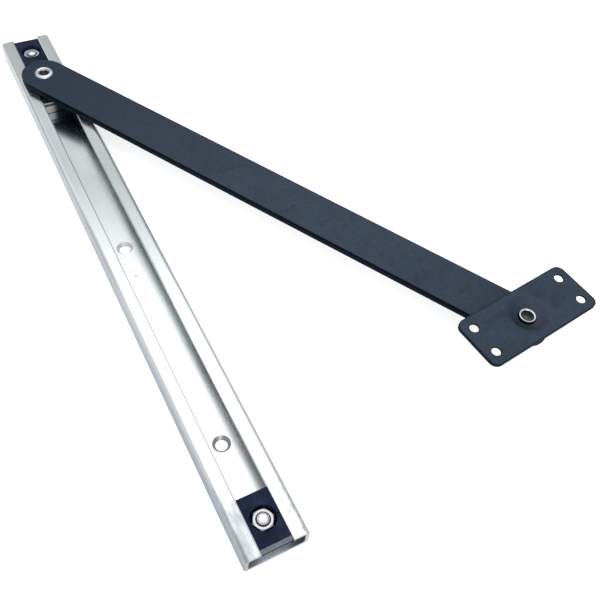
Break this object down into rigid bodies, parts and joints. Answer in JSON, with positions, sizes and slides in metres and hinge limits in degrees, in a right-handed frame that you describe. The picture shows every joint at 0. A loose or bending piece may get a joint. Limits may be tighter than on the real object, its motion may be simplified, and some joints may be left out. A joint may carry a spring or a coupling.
{
  "type": "door restrictor stay",
  "caption": "Lipped steel track with end stops, a laminated shoe that slides in it, and a flat arm that turns on the shoe and in a dished screw plate.",
  "frame": {"origin": "middle of the track's mounting face, on the axis of its middle screw hole", "axes": "+Y along the track towards the end stop where the shoe is parked; +Z out of the mounting face through the track, out of its slot; +X across the track, on the side where the arm lies"},
  "size_m": [0.2465, 0.417, 0.0261],
  "materials": {
    "galvanised": "zinc coated sheet with fine scratches along the track",
    "bright_zinc": "bright zinc plated",
    "shoe_steel": "punched steel plate, satin",
    "black_nylon": "moulded, satin",
    "black_coat": "fine textured powder coat, slate black, satin"
  },
  "bodies": {
    "rail": {"track": "galvanised", "end_stop_near": "black_nylon", "end_stop_far": "black_nylon", "stop_studs": "bright_zinc", "stop_nuts": "bright_zinc"},
    "shoe": {"shoe_lower_plate": "shoe_steel", "shoe_middle_plate": "shoe_steel", "shoe_top_plate": "shoe_steel", "pivot_collar": "shoe_steel", "arm_washer": "black_nylon", "shoe_rivet": "bright_zinc"},
    "swing_arm": {"arm": "black_coat"},
    "door_plate": {"plate_washer": "black_nylon", "plate_rivet": "bright_zinc", "screw_plate": "black_coat"}
  },
  "joints": [
    {"name": "shoe_slide", "type": "slide", "parent": "rail", "child": "shoe", "axis": [0, 1, 0], "range_m": [-0.315, 0]},
    {"name": "arm_swing", "type": "hinge", "parent": "shoe", "child": "swing_arm", "pos_m": [0, 0.1575, 0.0166], "axis": [0, 0, 1], "continuous": true},
    {"name": "plate_turn", "type": "hinge", "parent": "swing_arm", "child": "door_plate", "pos_m": [0.18613, -0.15473, 0.0166], "axis": [0, 0, 1], "continuous": true}
  ]
}
